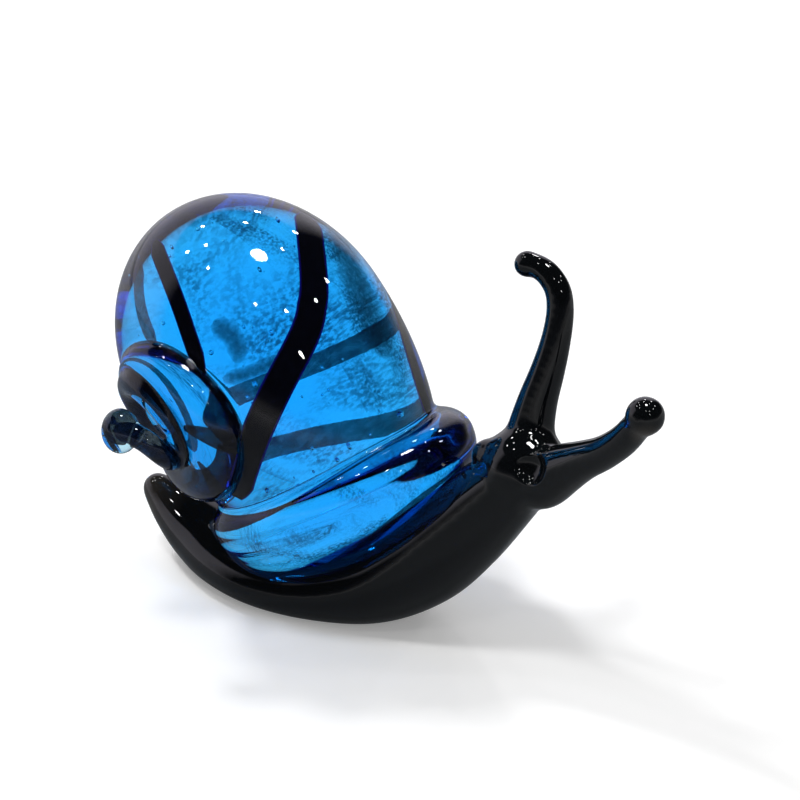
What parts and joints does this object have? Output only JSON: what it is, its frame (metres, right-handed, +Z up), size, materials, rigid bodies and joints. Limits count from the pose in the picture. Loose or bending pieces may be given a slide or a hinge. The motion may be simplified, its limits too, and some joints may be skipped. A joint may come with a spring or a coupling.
{
  "type": "glass snail figurine",
  "caption": "Small flame-worked glass snail: black glass body with stalked eyes and a transparent blue coil shell with dark stripes, standing on a flat foot.",
  "frame": {"origin": "centre of the flat pressed under the foot, which the figurine stands on", "axes": "+X forward, towards the head; +Y to the snail's left, away from the spire; +Z up"},
  "size_m": [0.0598, 0.0312, 0.0379],
  "materials": {
    "black_glass": "fire-polished opaque black glass",
    "blue_glass": "fire-polished transparent blue glass",
    "stripe_glass": "fire-polished opaque blue-black cane"
  },
  "bodies": {
    "root": {"foot_body": "black_glass", "head": "black_glass", "near_tentacle": "black_glass", "far_tentacle": "black_glass", "near_eye": "black_glass", "far_eye": "black_glass", "main_whorl": "blue_glass", "aperture_lip": "blue_glass", "second_whorl": "blue_glass", "third_whorl": "blue_glass", "fourth_whorl": "blue_glass", "spire_bead": "blue_glass", "near_stripe_1": "stripe_glass", "near_stripe_2": "stripe_glass", "near_stripe_3": "stripe_glass", "near_stripe_4": "stripe_glass", "far_stripe_1": "stripe_glass", "far_stripe_2": "stripe_glass", "far_stripe_3": "stripe_glass", "second_whorl_stripe": "stripe_glass", "third_whorl_stripe": "stripe_glass"}
  },
  "joints": []
}
